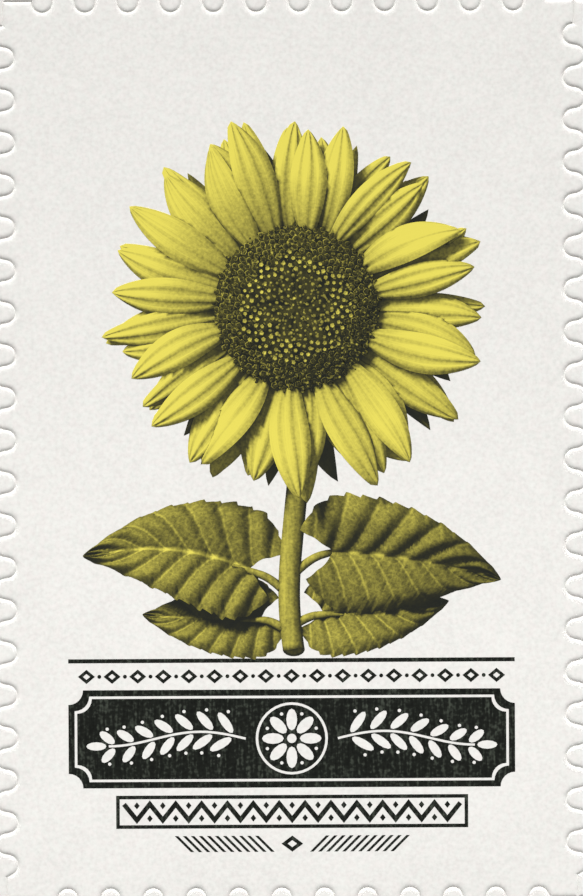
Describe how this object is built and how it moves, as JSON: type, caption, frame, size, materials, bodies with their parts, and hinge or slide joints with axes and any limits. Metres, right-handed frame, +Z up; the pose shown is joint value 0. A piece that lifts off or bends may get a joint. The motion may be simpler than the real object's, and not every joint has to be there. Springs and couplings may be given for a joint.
{
  "type": "postage stamp",
  "caption": "Self-adhesive portrait postage stamp, kiss-cut with a wavy edge from label paper, on a flat backing sheet with a narrow margin of label paper round it.",
  "frame": {"origin": "centre of the backing sheet's underside, below the stamp's centre", "axes": "+Z up out of the printed face, +Y towards the stamp's upper edge, +X towards its right edge"},
  "size_m": [0.0292, 0.0428, 0.0003],
  "materials": {
    "label_paper": "matte",
    "backing_paper": "satin",
    "adhesive": "satin",
    "yellow_ink": "satin",
    "black_ink": "satin"
  },
  "bodies": {
    "root": {"backing_sheet": "backing_paper", "stamp": "label_paper", "left_margin_strip": "label_paper", "upper_label_strip": "label_paper", "lower_label_strip": "label_paper", "right_label_strip": "label_paper", "upper_right_label_corner": "label_paper", "lower_right_label_corner": "label_paper"}
  },
  "joints": []
}
